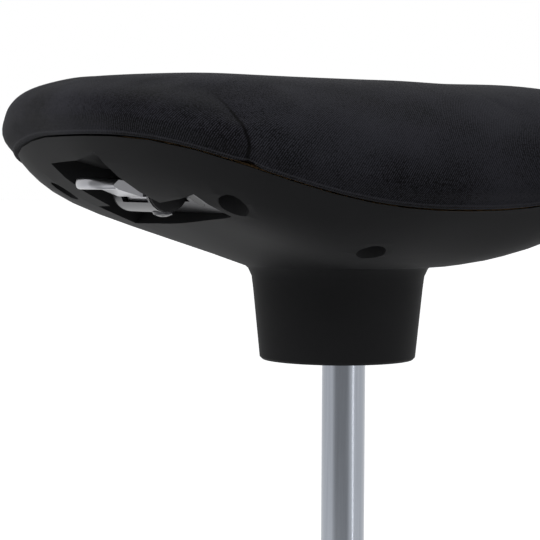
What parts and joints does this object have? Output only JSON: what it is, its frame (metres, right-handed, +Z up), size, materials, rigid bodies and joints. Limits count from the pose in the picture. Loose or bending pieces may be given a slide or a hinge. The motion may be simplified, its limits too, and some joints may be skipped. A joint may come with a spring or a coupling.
{
  "type": "saddle stool",
  "caption": "Saddle stool: padded seat with raised wings in a moulded shell, on a swivelling gas lift with a hand lever under one wing and a weighted round foot.",
  "frame": {"origin": "on the floor under the middle of the column", "axes": "+Z up; the sitter faces -Y; the sitter's right hand, with the height lever, is on the -X side"},
  "size_m": [0.422, 0.39, 0.7134],
  "materials": {
    "fabric": "fine black upholstery twill",
    "black_plastic": "finely textured moulded plastic, satin black",
    "black_rubber": "matt black rubber",
    "natural_plastic": "natural acetal, off white",
    "plywood": "moulded beech plywood, unfinished",
    "satin_chrome": "satin bright chromium",
    "bright_metal": "bright plated die casting",
    "painted_steel": "black powder coat",
    "plain_steel": "zinc-plated or bare steel",
    "black_steel": "blackened steel"
  },
  "bodies": {
    "stand": {"foot_ring": "black_rubber", "base_plate": "plain_steel", "base_hub": "plain_steel", "base_screw_1": "black_steel", "base_screw_2": "black_steel", "base_screw_3": "black_steel", "base_screw_4": "black_steel", "base_cover": "satin_chrome", "outer_tube": "painted_steel", "guide_sleeve": "natural_plastic", "tube_collar": "black_plastic", "base_collar": "black_plastic", "lower_washer": "plain_steel"},
    "rod": {"ball_cage": "plain_steel", "upper_washer": "plain_steel", "piston_rod": "satin_chrome", "retaining_clip": "black_steel", "bump_stop": "black_rubber", "piston": "plain_steel", "piston_seal": "black_rubber"},
    "seat": {"seat_cushion": "fabric", "seat_shell": "black_plastic", "front_end_cap": "black_plastic", "rear_end_cap": "black_plastic", "cable_housing": "black_plastic", "cylinder_seal": "black_rubber", "cable_clip_1": "natural_plastic", "cable_clip_2": "natural_plastic", "seat_pan": "plywood", "gas_cylinder": "satin_chrome", "lever_bracket": "bright_metal", "taper_socket": "plain_steel", "pivot_pin": "plain_steel", "return_spring": "plain_steel", "release_head": "plain_steel", "arm_pin": "plain_steel", "cable_wire": "plain_steel", "seat_bracket": "black_steel", "bracket_bolt_1": "black_steel", "bracket_bolt_2": "black_steel", "bracket_bolt_3": "black_steel", "bracket_bolt_4": "black_steel", "lever_bracket_screw_1": "black_steel", "lever_bracket_screw_2": "black_steel", "shell_screw_1": "black_steel", "shell_screw_2": "black_steel", "shell_screw_3": "black_steel", "shell_screw_4": "black_steel", "shell_screw_5": "black_steel", "shell_screw_6": "black_steel"},
    "lever": {"height_lever": "bright_metal"},
    "release_arm": {"release_arm": "plain_steel"},
    "release_button": {"release_button": "bright_metal"}
  },
  "joints": [
    {"name": "seat_swivel", "type": "hinge", "parent": "stand", "child": "rod", "pos_m": [0, 0, 0.03], "axis": [0, 0, 1], "continuous": true},
    {"name": "seat_height", "type": "slide", "parent": "rod", "child": "seat", "axis": [0, 0, 1], "range_m": [-0.13, 0.1]},
    {"name": "lever_lift", "type": "hinge", "parent": "seat", "child": "lever", "pos_m": [-0.142, -0.014, 0.644], "axis": [0, 1, 0], "range_deg": [0, 12], "stiffness_Nm_per_rad": 0.6, "springref_deg": -17.19},
    {"name": "arm_turn", "type": "hinge", "parent": "seat", "child": "release_arm", "pos_m": [0.018, 0, 0.64], "axis": [0, -1, 0], "range_deg": [0, 9.3], "stiffness_Nm_per_rad": 0.05, "springref_deg": -28.65},
    {"name": "button_press", "type": "slide", "parent": "seat", "child": "release_button", "axis": [0, 0, -1], "range_m": [0, 0.0029], "stiffness_N_per_m": 200, "springref_m": -0.005}
  ],
  "couplings": [
    {"joint": "arm_turn", "follows": "lever_lift", "ratio": 0.75},
    {"joint": "button_press", "follows": "lever_lift", "m_per_rad": 0.01337}
  ]
}
